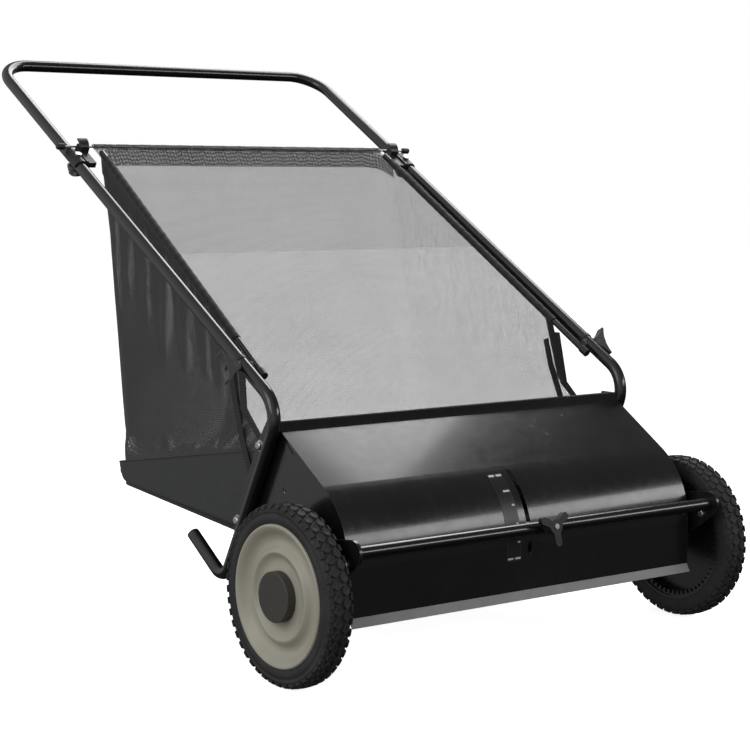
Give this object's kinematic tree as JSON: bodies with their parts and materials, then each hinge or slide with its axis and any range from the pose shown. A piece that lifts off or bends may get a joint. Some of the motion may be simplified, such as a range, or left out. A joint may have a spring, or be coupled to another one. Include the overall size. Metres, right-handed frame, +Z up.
{
  "type": "push lawn sweeper",
  "caption": "Push lawn sweeper: black steel housing over a rotary brush, two geared drive wheels, tube handle and a mesh hopper with a solid tray floor.",
  "frame": {"origin": "centre of the bounding box's underside: on the floor, in the middle plane", "axes": "+X across the machine to the right of a person pushing it, -Y the front (the way it is pushed), +Z up"},
  "size_m": [0.81, 1.0603, 0.8929],
  "materials": {
    "housing_paint": "gloss",
    "tube_paint": "gloss",
    "lip_plastic": "satin",
    "scale_plastic": "satin",
    "zinc_steel": "satin",
    "nylon": "satin",
    "pinion_plastic": "satin",
    "knob_plastic": "satin",
    "tyre_rubber": "matte",
    "rim_plastic": "satin",
    "wheel_cover_plastic": "satin",
    "cap_plastic": "satin",
    "bristles": "matte",
    "mesh_cloth": "matte",
    "tray_vinyl": "satin",
    "webbing": "matte"
  },
  "bodies": {
    "housing": {"housing_cover": "housing_paint", "side_plate_left": "housing_paint", "side_plate_right": "housing_paint", "front_lip": "lip_plastic", "height_scale": "scale_plastic", "upper_tie_rod": "zinc_steel", "lower_tie_rod": "zinc_steel", "tie_rod_bolts": "zinc_steel", "bearing_left": "nylon", "bearing_right": "nylon", "arm_retaining_rings": "zinc_steel", "leg_tube_left": "tube_paint", "leg_tube_right": "tube_paint", "foot_plugs": "knob_plastic", "tube_joint_sleeves": "knob_plastic", "handle_tube": "tube_paint", "tube_joint_bolts": "zinc_steel", "rod_clip_left": "knob_plastic", "rod_clip_right": "knob_plastic", "clip_bolts": "zinc_steel"},
    "adjuster": {"adjuster_arm_left": "tube_paint", "adjuster_arm_right": "tube_paint", "adjuster_bar": "tube_paint", "stub_axle_left": "zinc_steel", "stub_axle_right": "zinc_steel", "axle_retainers": "zinc_steel", "arm_bolts": "zinc_steel", "clamp_bolt": "zinc_steel", "clamp_pad": "zinc_steel", "clamp_spacer": "nylon"},
    "adjuster_knob": {"adjuster_knob": "knob_plastic"},
    "joint_knob_left": {"joint_knob_left": "knob_plastic"},
    "joint_knob_right": {"joint_knob_right": "knob_plastic"},
    "clip_knob_left": {"clip_knob_left": "knob_plastic"},
    "clip_knob_right": {"clip_knob_right": "knob_plastic"},
    "wheel_left": {"tyre_left": "tyre_rubber", "wheel_rim_left": "rim_plastic", "wheel_cover_left": "wheel_cover_plastic", "hub_cap_left": "cap_plastic"},
    "wheel_right": {"tyre_right": "tyre_rubber", "wheel_rim_right": "rim_plastic", "wheel_cover_right": "wheel_cover_plastic", "hub_cap_right": "cap_plastic"},
    "brush": {"brush_shaft": "zinc_steel", "brush_hubs": "nylon", "brush_holders": "zinc_steel", "bristle_strips": "bristles", "pinion_left": "pinion_plastic", "pinion_right": "pinion_plastic", "shaft_spacers": "nylon"},
    "hopper": {"hopper_mesh": "mesh_cloth", "hopper_tray": "tray_vinyl", "hopper_floor_frame": "zinc_steel", "hopper_hooks": "knob_plastic", "hopper_top_rod": "zinc_steel", "top_rod_nuts": "knob_plastic", "hopper_side_rods": "tube_paint", "side_rod_caps": "knob_plastic", "hopper_straps": "webbing"}
  },
  "joints": [
    {"name": "height_adjust", "type": "hinge", "parent": "housing", "child": "adjuster", "pos_m": [0, -0.34175, 0.16493], "axis": [-1, 0, 0], "range_deg": [-12, 38]},
    {"name": "wheel_left_spin", "type": "hinge", "parent": "adjuster", "child": "wheel_left", "pos_m": [0, -0.40295, 0.127], "axis": [-1, 0, 0], "continuous": true},
    {"name": "wheel_right_spin", "type": "hinge", "parent": "adjuster", "child": "wheel_right", "pos_m": [0, -0.40295, 0.127], "axis": [-1, 0, 0], "continuous": true},
    {"name": "brush_spin", "type": "hinge", "parent": "adjuster", "child": "brush", "pos_m": [0, -0.34175, 0.16493], "axis": [-1, 0, 0], "continuous": true},
    {"name": "hopper_lift", "type": "slide", "parent": "housing", "child": "hopper", "axis": [0, 0.7071, 0.7071], "range_m": [0, 0.3]},
    {"name": "adjuster_knob_turn", "type": "hinge", "parent": "adjuster", "child": "adjuster_knob", "pos_m": [0, -0.51699, 0.19615], "axis": [0, -0.9845, 0.1754], "range_deg": [-450, 0]},
    {"name": "joint_knob_left_turn", "type": "hinge", "parent": "housing", "child": "joint_knob_left", "pos_m": [-0.358, -0.23636, 0.42429], "axis": [-1, 0, 0], "range_deg": [-450, 0]},
    {"name": "joint_knob_right_turn", "type": "hinge", "parent": "housing", "child": "joint_knob_right", "pos_m": [0.358, -0.23636, 0.42429], "axis": [1, 0, 0], "range_deg": [-450, 0]},
    {"name": "clip_knob_left_turn", "type": "hinge", "parent": "housing", "child": "clip_knob_left", "pos_m": [-0.33422, 0.2552, 0.70141], "axis": [0, 0.5186, -0.855], "range_deg": [-450, 0]},
    {"name": "clip_knob_right_turn", "type": "hinge", "parent": "housing", "child": "clip_knob_right", "pos_m": [0.33422, 0.2552, 0.70141], "axis": [0, 0.5186, -0.855], "range_deg": [-450, 0]}
  ],
  "couplings": [
    {"joint": "wheel_right_spin", "follows": "wheel_left_spin", "ratio": 1},
    {"joint": "brush_spin", "follows": "wheel_left_spin", "ratio": 5}
  ]
}
